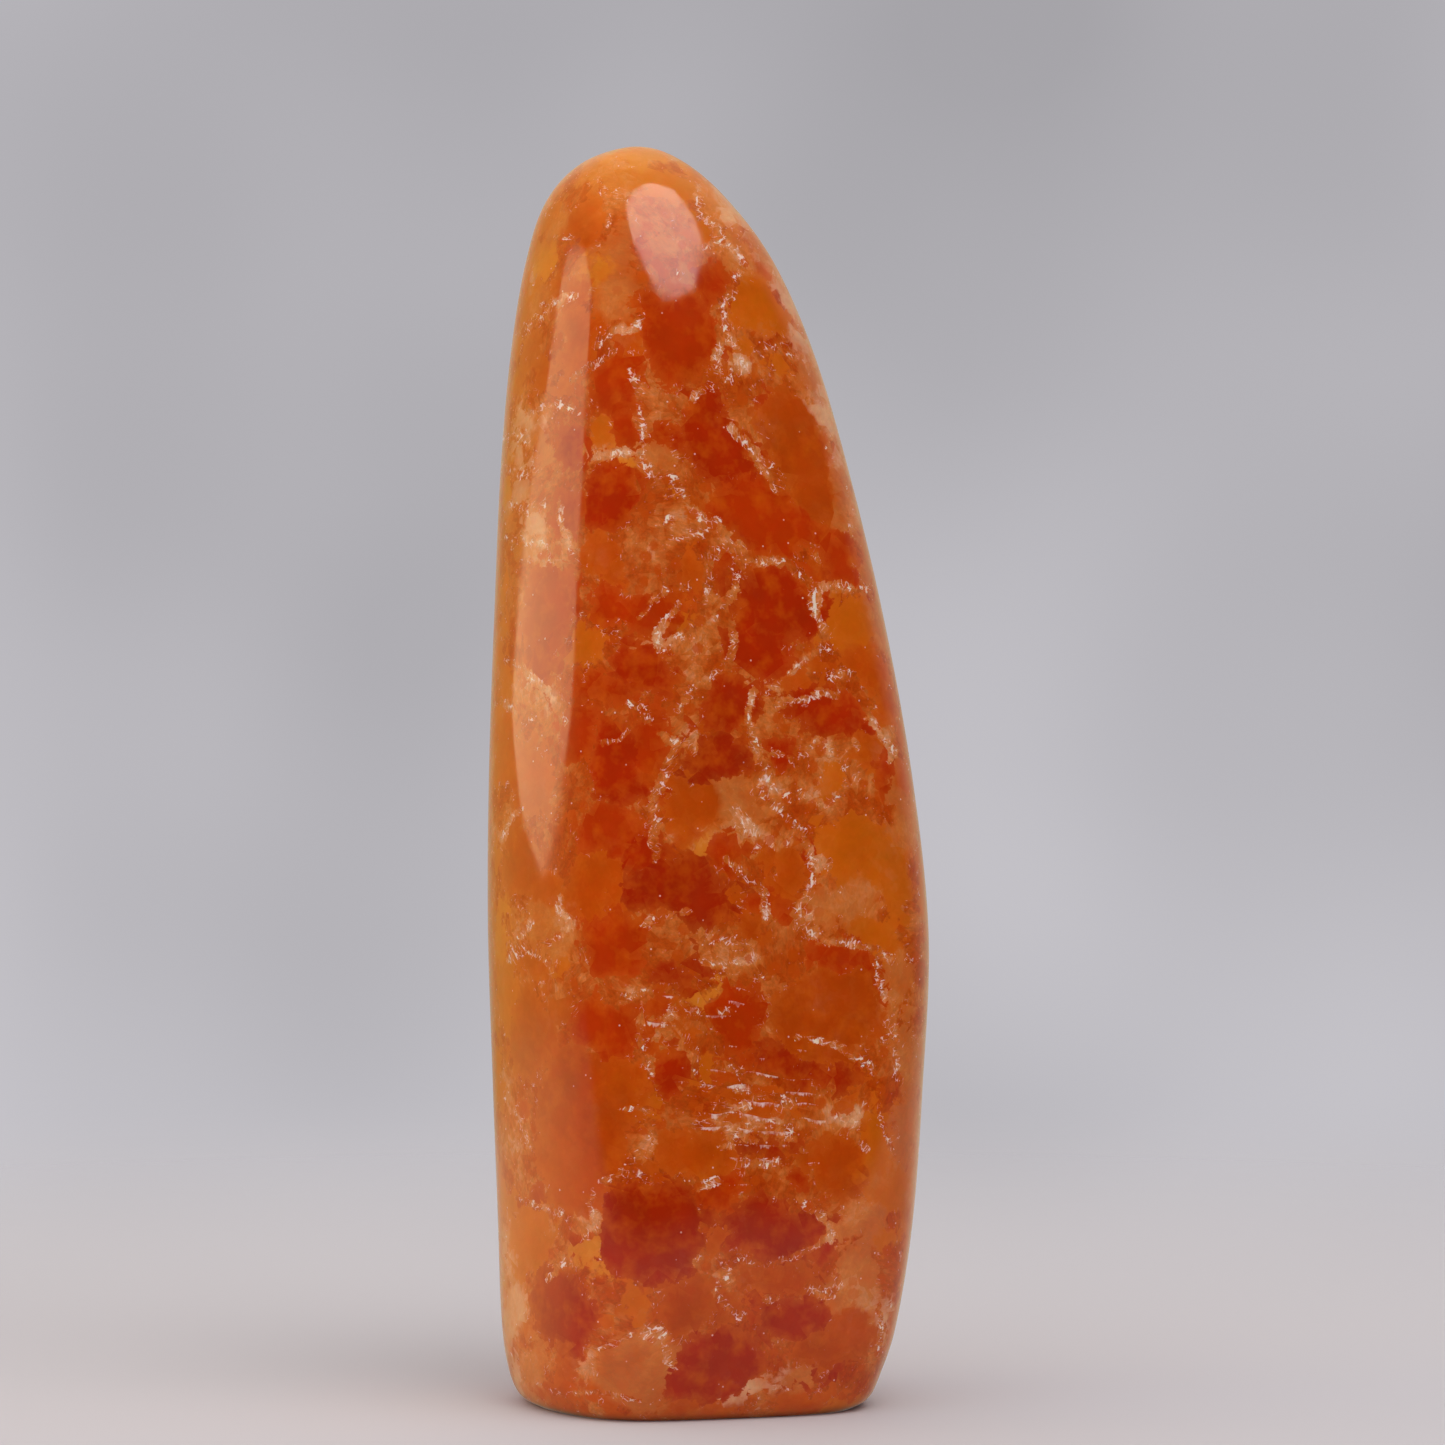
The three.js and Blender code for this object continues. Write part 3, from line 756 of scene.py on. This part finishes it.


def clear_colour(tree, place, tone, inside):
    """The tone mottled by soft clouds deep in the crystal, paler towards its border, and mixed towards a
    painted glow colour along the outline."""
    slow = add(tree, "TexNoise", {"Vector": place, "Scale": 1 / CLOUD_SIZE, "Detail": 5, "Roughness": 0.55})
    shade = add(tree, "MapRange", [slow, 0.3, 0.7, 0.86, 1.08])
    tone = add(tree, "HueSaturation", {"Color": tone, "Value": shade})
    far = add(tree, "VectorMath", [place, (7.0, 50.0, 3.0)], operation="ADD")
    drift = add(tree, "TexNoise", {"Vector": far, "Scale": 1 / HAZE_SIZE, "Detail": 3, "Roughness": 0.6})
    haze = add(tree, "MapRange", [drift, 0.5, 0.75, 0.0, 0.5])
    rim = add(tree, "MapRange", [inside, -RIM, 0.0, 0.0, 0.3])
    # painted glow: along the outline the tone is mixed towards the glow colour
    edge = add(tree, "Attribute", output="Fac", attribute_name="edge")
    edge = add(tree, "Math", [edge, 0.62], operation="MULTIPLY")
    for share, code in ((haze, HAZE_TONE), (rim, RIM_TONE), (edge, PAINTED_EDGE_GLOW)):
        tone = add(tree, "Mix", {0: share, 6: tone, 7: colour(code)}, 2, data_type="RGBA")
    return tone


# %% Colour of the cloudy mass
CLEAVAGE_PATCH = 6.0  # mm, how far the cleavage runs one way
DRIFT_SIZE = 5.0  # mm, from brown-orange to cream and back
FACET = 1.1  # mm
SMALL_CRYSTAL = 1.7  # mm, and their tone
SMALL_TONE = "#D05404"
CLOUDY = [(0.4, "#BE4402"), (0.56, "#CA5A12"), (0.72, "#DA7C34"), (1.0, "#ECB488")]


def broken_grain(tree, place):
    """Coordinates that turn another way in each patch, as the cleavage does in each crystal."""
    patches = add(tree, "TexVoronoi", {"Vector": place, "Scale": 1 / CLEAVAGE_PATCH}, "Color")
    angles = add(tree, "VectorMath", {0: patches, 3: 2 * np.pi}, operation="SCALE")
    return add(tree, "VectorRotate", {"Vector": place, "Rotation": angles}, rotation_type="EULER_XYZ")


def cloudy_colour(tree, place, turned, seam):
    """A slow drift from brown-orange to cream over a mosaic of small facets, with fine fibres along the
    cleavage, and here and there a small clear crystal. Along the outline there are fewer of them, and a
    painted glow is mixed in."""
    drift = add(tree, "TexNoise", {"Vector": place, "Scale": 1 / DRIFT_SIZE, "Detail": 5, "Roughness": 0.6})
    facets = add(tree, "TexVoronoi", {"Vector": turned, "Scale": 1 / FACET}, "Color")
    facet = add(tree, "SeparateColor", [facets]).node
    drift = add(tree, "Math", [facet.outputs[0], 0.14, drift], operation="MULTIPLY_ADD")
    # the pale attribute: real veils, and part of the painted glow along the outline
    pale = add(tree, "Attribute", output="Fac", attribute_name="pale")
    drift = add(tree, "Math", [pale, 0.2, drift], operation="MULTIPLY_ADD")
    drift = add(tree, "Math", [seam, 0.11, drift], operation="MULTIPLY_ADD")
    tone = add_ramp(tree, drift, CLOUDY)
    stretched = add(tree, "VectorMath", [turned, (1.0, 3.2, 2.2)], operation="MULTIPLY")
    fibres = add(tree, "TexNoise", {"Vector": stretched, "Scale": 1.0, "Detail": 4, "Roughness": 0.7})
    shade = add(tree, "MapRange", [fibres, 0.3, 0.7, 0.8, 1.18])
    tone = add(tree, "HueSaturation", {"Color": tone, "Value": shade})
    small = add(tree, "TexVoronoi", {"Vector": place, "Scale": 1 / SMALL_CRYSTAL}).node
    parts = add(tree, "SeparateColor", [small.outputs["Color"]]).node
    chosen = add(tree, "Math", [parts.outputs[1], 0.6], operation="GREATER_THAN")
    wobble = add(tree, "Math", [fibres, 0.5, -0.25], operation="MULTIPLY_ADD")
    reach = add(tree, "Math", [small.outputs["Distance"], wobble], operation="ADD")
    near = add(tree, "MapRange", [reach, 0.4, 0.46, 0.7, 0.0])
    mask = add(tree, "Math", [chosen, near], operation="MULTIPLY")
    # painted glow: along the outline fewer small clear crystals, and the glow colour mixed in
    edge = add(tree, "Attribute", output="Fac", attribute_name="edge")
    fewer_in_glow = add(tree, "MapRange", [edge, 0.0, 0.8, 1.0, 0.15])
    mask = add(tree, "Math", [mask, fewer_in_glow], operation="MULTIPLY")
    tone = add(tree, "Mix", {0: mask, 6: tone, 7: colour(SMALL_TONE)}, 2, data_type="RGBA")
    edge = add(tree, "Math", [edge, 0.36], operation="MULTIPLY")
    return add(tree, "Mix", {0: edge, 6: tone, 7: colour(PAINTED_EDGE_GLOW)}, 2, data_type="RGBA")


# %% White cleavage flecks
SHARD_STEP = 0.9  # mm between the step lines of the small shards
SHARD_TOOTH = 0.45  # mm, the teeth along a shard's lower edge
STROKE_TOOTH = 0.25  # mm, the same for a stroke
STROKE_GROUP = 2.6  # mm, the strokes come in groups
CLUMP = 1.6  # mm, the flecks lie in clumps
GLINT = 0.5  # mm, the bright and dull places along a crack
PIN_SPACING = 1.5  # mm
PIT_SPACING = 0.9  # mm, the tiny pits that polishing leaves in the cloudy mass


def cleavage_steps(tree, place, spacing, tooth, amount):
    """Pale shards where the stone broke in steps. There is a step line every `spacing` mm up; below it a
    shard reaches down by a ragged height: fine noise along the line, slow noise along the line and the
    amount wanted, less a constant. How far down a place lies is its step line's number less its own height
    over the spacing."""
    parts = add(tree, "SeparateXYZ", [place]).node
    wave = add(tree, "TexNoise", {"Vector": place, "Scale": 1 / 2.5, "Detail": 1})
    rise = add(tree, "Math", [parts.outputs[2], 1 / spacing, wave], operation="MULTIPLY_ADD")
    line = add(tree, "Math", [rise], operation="CEIL")
    down = add(tree, "Math", [line, rise], operation="SUBTRACT")
    own_row = add(tree, "Math", [line, 5.3], operation="MULTIPLY")
    along = add(tree, "CombineXYZ", [parts.outputs[0], parts.outputs[1], own_row])
    teeth = add(tree, "TexNoise", {"Vector": along, "Scale": 1 / tooth, "Detail": 3, "Roughness": 0.7})
    runs = add(tree, "TexNoise", {"Vector": along, "Scale": 1 / 2.2, "Detail": 1})
    reach = add(tree, "Math", [teeth, 1.1, -1.8], operation="MULTIPLY_ADD")
    reach = add(tree, "Math", [runs, 1.2, reach], operation="MULTIPLY_ADD")
    reach = add(tree, "Math", [amount, 0.9, reach], operation="MULTIPLY_ADD")
    inside = add(tree, "Math", [reach, down], operation="SUBTRACT")
    return add(tree, "MapRange", [inside, 0.0, 0.1, 0.0, 1.0])


def streaks(tree, place, tilt, spacing, name):
    """Long shards in steps, all at one tilt in degrees, in the patches that the named attribute gives."""
    tilted = add(tree, "VectorRotate", {"Vector": place, "Axis": (0, 1, 0), "Angle": np.radians(tilt)})
    long = add(tree, "VectorMath", [tilted, (0.6, 0.8, 1.0)], operation="MULTIPLY")
    amount = add(tree, "Attribute", output="Fac", attribute_name=name)
    groups = add(tree, "TexNoise", {"Vector": place, "Scale": 1 / STROKE_GROUP, "Detail": 2})
    groups = add(tree, "MapRange", [groups, 0.36, 0.6, 0.55, 1.04])
    amount = add(tree, "Math", [amount, groups], operation="MULTIPLY")
    steps = cleavage_steps(tree, long, spacing, STROKE_TOOTH, amount)
    glint = add(tree, "TexNoise", {"Vector": place, "Scale": 1 / 0.7, "Detail": 3})
    glint = add(tree, "MapRange", [glint, 0.38, 0.62, 0.15, 0.85])
    return add(tree, "Math", [steps, glint], operation="MULTIPLY")


def fleck_mask(tree, place, turned, border, seam):
    """Near borders and seams, shards in small steps and thin straight cracks, both along each patch's
    cleavage; in some patches long streaks; and everywhere a few pin-sized points."""
    clumps = add(tree, "TexNoise", {"Vector": place, "Scale": 1 / CLUMP, "Detail": 3, "Roughness": 0.6})
    wanted = add(tree, "Math", [border, 0.19, clumps], operation="MULTIPLY_ADD")
    wanted = add(tree, "Math", [seam, 0.5, wanted], operation="MULTIPLY_ADD")
    amount = add(tree, "MapRange", [wanted, 0.55, 1.05, 0.0, 1.15])
    shards = cleavage_steps(tree, turned, SHARD_STEP, SHARD_TOOTH, amount)

    stretched = add(tree, "VectorMath", [turned, (0.6, 2.0, 1.3)], operation="MULTIPLY")
    cracks = add(tree, "TexVoronoi", {"Vector": stretched, "Scale": 1.0}, feature="DISTANCE_TO_EDGE")
    width = add(tree, "MapRange", [wanted, 0.7, 1.05, 0.0, 0.14])
    line = add(tree, "Math", [width, cracks], operation="SUBTRACT")
    glint = add(tree, "TexNoise", {"Vector": place, "Scale": 1 / GLINT, "Detail": 2})
    glint = add(tree, "MapRange", [glint, 0.4, 0.6, 0.1, 0.9])
    broken = add(tree, "MapRange", [line, 0.0, 0.05, 0.0, glint])

    level = streaks(tree, place, -6, 1.6, "strokes")
    slanted = streaks(tree, place, -28, 0.8, "scratches")
    pins = add(tree, "TexVoronoi", {"Vector": place, "Scale": 1 / PIN_SPACING}).node
    rare = add(tree, "SeparateColor", [pins.outputs["Color"]]).node
    rare = add(tree, "Math", [rare.outputs[2], 0.66], operation="GREATER_THAN")
    pin = add(tree, "MapRange", [pins.outputs["Distance"], 0.04, 0.09, 0.8, 0.0])
    pin = add(tree, "Math", [pin, rare], operation="MULTIPLY")
    mask = broken
    for other in (shards, level, slanted, pin):
        mask = add(tree, "Math", [mask, other], operation="MAXIMUM")
    return mask


# %% The whole material
FLECK = "#FBE0D2"
GAP_SIZE = 5.0  # mm, how the cloudy mass swells and shrinks
SEAM_SIZE = 1.1  # mm, the ragged edge of a seam
BORDER = 1.3  # mm, the flecks gather this near to a crystal's border
RED_REACH = 5 * MM  # how far red light spreads in the stone; green and blue stay nearer


def polished_calcite():
    """Polished orange calcite: clear and cloudy crystals under a glassy surface. Calcite bends light by
    about 1.6, and the polish leaves it nearly mirror smooth. The sheen is the warm light along the
    outline."""
    material, tree = new_material("polished_orange_calcite")
    object_place = add(tree, "TexCoord", output="Object")
    place = add(tree, "VectorMath", {0: object_place, 3: 1 / MM}, operation="SCALE")
    distances = shaken_distances(tree, place)
    tone, milky, nearest, meeting = blended_tones(tree, distances)
    turned = broken_grain(tree, place)

    gap_noise = add(tree, "TexNoise", {"Vector": place, "Scale": 1 / GAP_SIZE, "Detail": 2})
    gap = add(tree, "MapRange", [gap_noise, 0.3, 0.7, -0.1, 0.7])
    cloud_field = add(tree, "Attribute", output="Fac", attribute_name="cloud")
    gap = add(tree, "Math", [gap, cloud_field], operation="MINIMUM")
    seam_field = add(tree, "Attribute", output="Fac", attribute_name="seams")
    seam_noise = add(tree, "TexNoise", {
        "Vector": place, "Scale": 1 / SEAM_SIZE, "Detail": 4, "Roughness": 0.6})
    seam_field = add(tree, "Math", [seam_noise, 2.2, seam_field], operation="MULTIPLY_ADD")
    seam_gap = add(tree, "MapRange", [seam_field, 0.7, 2.1, -7.0, 2.0], clamp=False)
    gap = add(tree, "Math", [gap, seam_gap], operation="MINIMUM")
    seam = add(tree, "MapRange", [seam_field, 0.9, 2.0, 1.0, 0.0])
    over = add(tree, "Math", [nearest, gap], operation="SUBTRACT")
    softness = add(tree, "Math", [milky, 0.6], operation="MULTIPLY")
    softness = add(tree, "Math", [softness, 0.05], operation="MAXIMUM")
    past = add(tree, "Math", [over, softness], operation="DIVIDE")
    cloudy = add(tree, "MapRange", [past, -1.0, 1.0, 0.0, 1.0])

    clear = clear_colour(tree, place, tone, over)
    cloud = cloudy_colour(tree, place, turned, seam)
    milk = add(tree, "Math", [milky, 0.45], operation="MULTIPLY")
    cloudy = add(tree, "Math", [cloudy, milk], operation="MAXIMUM")
    stone_colour = add(tree, "Mix", {0: cloudy, 6: clear, 7: cloud}, 2, data_type="RGBA")

    away = add(tree, "Math", [over], operation="ABSOLUTE")
    border = add(tree, "MapRange", [away, 0.0, BORDER, 1.0, 0.0])
    border = add(tree, "Math", [border, meeting], operation="MAXIMUM")
    flecks = fleck_mask(tree, place, turned, border, seam)
    stone_colour = add(tree, "Mix", {0: flecks, 6: stone_colour, 7: colour(FLECK)}, 2, data_type="RGBA")

    roughness = add(tree, "MapRange", [cloudy, 0.0, 1.0, 0.06, 0.13])
    pits = add(tree, "TexVoronoi", {"Vector": place, "Scale": 1 / PIT_SPACING}, "Distance")
    pit = add(tree, "MapRange", [pits, 0.05, 0.15, 0.45, 0.0])
    roughness = add(tree, "Math", [pit, cloudy, roughness], operation="MULTIPLY_ADD")
    shader = add(tree, "BsdfPrincipled", {
        "Base Color": stone_colour, "Roughness": roughness, "IOR": 1.6,
        "Subsurface Weight": 1.0, "Subsurface Radius": (1.0, 0.35, 0.15), "Subsurface Scale": RED_REACH,
        "Sheen Weight": 0.25, "Sheen Roughness": 0.4, "Sheen Tint": colour("#FFE6A8")})
    add(tree, "OutputMaterial", {"Surface": shader})
    return material


stone_mesh.materials.append(polished_calcite())
print("nodes in the stone's material:", len(stone_mesh.materials[0].node_tree.nodes))
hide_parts(NODE)
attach(stone, "root")

# %% [markdown]
# ## The light and the floor
#
# The photograph has very soft light: a pale surround, a broad light above with a weaker one behind, one
# tall window-like light on the left, and a small one high up on the right. The broad ones are a bright dome
# all round, stronger in some directions. The two last are cards that shine. Their reflections have clear
# outlines on the stone, and guessing at cards until the reflections fit would take long. So the script goes
# the other way: it takes the outline that is seen, sends the camera's line of sight to each of its places,
# mirrors it in the polished skin and follows it to the card. The floor is matt and fades into the surround,
# so that no horizon shows.

# %% Pale floor
FLOOR_RADIUS = 2.5  # m
FLOOR_TONE = "#D0CFD4"
FADE_FROM, FADE_TO = 0.09, 0.45  # m from the stone; further out the floor is the surround
FRONT_FADE = (-0.03, -0.12)  # m along y, where it fades in front of the stone


def pale_floor():
    """A matt pale surface that fades into the surround towards its edge."""
    material, tree = new_material("matt_pale_board")
    place = add(tree, "TexCoord", output="Object")
    away = add(tree, "VectorMath", [place], "Value", operation="LENGTH")
    fade = add(tree, "MapRange", [away, FADE_FROM, FADE_TO, 0.0, 1.0], interpolation_type="SMOOTHSTEP")
    depth = add(tree, "SeparateXYZ", [place], "Y")
    front = add(tree, "MapRange", [depth, *FRONT_FADE, 0.0, 1.0])
    fade = add(tree, "Math", [fade, front], operation="MAXIMUM")
    mirrored = add(tree, "LightPath", output="Is Glossy Ray")
    mirrored = add(tree, "Math", [mirrored, 0.6], operation="MULTIPLY")
    fade = add(tree, "Math", [fade, mirrored], operation="MAXIMUM")
    matt = add(tree, "BsdfPrincipled", {"Base Color": colour(FLOOR_TONE), "Roughness": 0.9})
    clear = add(tree, "BsdfTransparent")
    surface = add(tree, "MixShader", [fade, matt, clear])
    add(tree, "OutputMaterial", {"Surface": surface})
    return material


turn = np.linspace(0, 2 * np.pi, 96, endpoint=False)
rim = np.stack([np.cos(turn), np.sin(turn), 0 * turn], axis=1) * FLOOR_RADIUS
floor_mesh = bpy.data.meshes.new("floor")
floor_mesh.from_pydata(rim.tolist(), [], [list(range(len(rim)))])
floor_mesh.materials.append(pale_floor())
floor = put_in_scene("floor", floor_mesh)
print("floor radius in m:", FLOOR_RADIUS)

# %% Surround
SURROUND, DOME, ROOM = "#AEACB1", "#FFFBFB", "#B2ACA4"
LIT_FROM = (-0.42, -0.5, 0.77)  # the dome is brightest above, to the left and in front
LIT_BEHIND = (-0.45, 0.9, 0.1)  # and there is a second light behind, to the left
BRIGHT_ROOM = (0.45, 1.0, 0.5)  # the part of the room that the polish mirrors along the outline
world = bpy.data.worlds.new("surround")
bpy.context.scene.world = world
world.use_nodes = True
world_tree = world.node_tree
world_tree.nodes.clear()


def toward(way):
    """How much of the direction looked in lies along one way: their dot product."""
    return add(world_tree, "VectorMath", [direction, way], "Value", operation="DOT_PRODUCT")


direction = add(world_tree, "TexCoord", output="Generated")
height_seen = add(world_tree, "SeparateXYZ", [direction], "Z")
cloth = add(world_tree, "TexNoise", {"Vector": direction, "Scale": 8.0, "Detail": 1.0})
cloth = add(world_tree, "MapRange", [cloth, 0.3, 0.7, 0.92, 1.13])
lower = add(world_tree, "MapRange", [height_seen, 0.15, -0.09, 0.98, 1.2])
seen_strength = add(world_tree, "Math", [cloth, lower], operation="MULTIPLY")
seen = add(world_tree, "Background", {"Color": colour(SURROUND), "Strength": seen_strength})
room_strength = add(world_tree, "MapRange", [toward(BRIGHT_ROOM), 0.6, 1.0, 0.02, 1.0])
room = add(world_tree, "Background", {"Color": colour(ROOM), "Strength": room_strength})
dome_strength = add(world_tree, "MapRange", [toward(LIT_FROM), -0.3, 1.0, 0.06, 1.06])
behind_strength = add(world_tree, "MapRange", [toward(LIT_BEHIND), 0.1, 0.9, 0.0, 0.9])
dome_strength = add(world_tree, "Math", [dome_strength, behind_strength], operation="MAXIMUM")
dome = add(world_tree, "Background", {"Color": colour(DOME), "Strength": dome_strength})
path = add(world_tree, "LightPath").node
lit = add(world_tree, "MixShader", [path.outputs["Is Glossy Ray"], dome, room])
both = add(world_tree, "MixShader", [path.outputs["Is Camera Ray"], lit, seen])
add(world_tree, "OutputWorld", {"Surface": both})

# %% Cards that make the reflections
BLUR = 0.5  # mm, the skin's points are averaged over this, because a place falls between them
EYE = np.array([CAMERA_ACROSS, -CAMERA_DISTANCE, CAMERA_HEIGHT])


def mirrored_sight(x, z):
    """The place on the skin that shows at (x, z) in the picture plane, and the way in which sight is
    mirrored there. Place and normal are averages of the front points. A point's weight is e to the power of
    minus its squared gap over the squared blur. The mirrored way is the sight less twice its part along the
    normal."""
    gap = (across - x) ** 2 + (height - z) ** 2
    weight = np.where(faces_camera, np.exp(-gap / BLUR ** 2), 0)
    place = weight @ points / weight.sum()
    normal = weight @ normals
    normal /= np.linalg.norm(normal)
    sight = (place - EYE) / np.linalg.norm(place - EYE)
    return place, sight - 2 * (sight @ normal) * normal


def card(name, azimuth, elevation, distance, seen, tint, strength):
    """A flat shining card that faces the stone's middle, whose reflection has the seen outline. The card's
    middle lies at the distance in mm in the direction given: azimuth 90 is left, -90 is right."""
    a, e = np.radians(azimuth), np.radians(elevation)
    outward = np.array([-np.sin(a) * np.cos(e), -np.cos(a) * np.cos(e), np.sin(e)])
    middle = np.array([0, 0, CAMERA_HEIGHT]) + outward * distance
    sights = [mirrored_sight(x, z) for x, z in seen]
    corners = np.array([p + way * ((middle - p) @ outward) / (way @ outward) for p, way in sights])
    mesh = bpy.data.meshes.new(name)
    mesh.from_pydata((corners * MM).tolist(), [], [list(range(len(corners)))])
    material, tree = new_material(name)
    shine = add(tree, "Emission", {"Color": colour(tint), "Strength": strength})
    add(tree, "OutputMaterial", {"Surface": shine})
    mesh.materials.append(material)
    put_in_scene(name, mesh)
    print(name, "spans in mm:", np.ptp(corners, axis=0).round(0))


# the outlines of the two reflections as they show on the stone: across, height in mm
TALL_REFLECTION = [
    (-14.6, 137.5), (-13.7, 132.8), (-14, 128.2), (-14.9, 109.9), (-15.4, 100.9), (-16.3, 81.6),
    (-19.2, 63.1), (-19.9, 63.4), (-22.3, 71.9), (-23.2, 83.2), (-22.8, 90.9), (-21.9, 100.9),
    (-21.1, 107.8), (-19.7, 116.8), (-18.8, 123), (-18, 129.2), (-17.5, 132.7), (-16.8, 136.2),
    (-16.3, 137.5),
]
SMALL_REFLECTION = [
    (-9.5, 143.1), (-6.7, 145.5), (-4, 144.7), (-1.8, 141.7), (-0.7, 138.8), (-1.4, 132.9), (-3.7, 131.8),
    (-5.6, 132.3), (-7.3, 135.2), (-8.9, 138.8), (-9.5, 141.7),
]
card("window_card", 97, 12, 700, TALL_REFLECTION, "#FFE8BC", 2.0)
card("high_card", -58, 50, 900, SMALL_REFLECTION, "#FFF6F2", 3.4)

# %% Sizes, and the end
print("stone in mm:", np.ptp(points, axis=0).round(1))
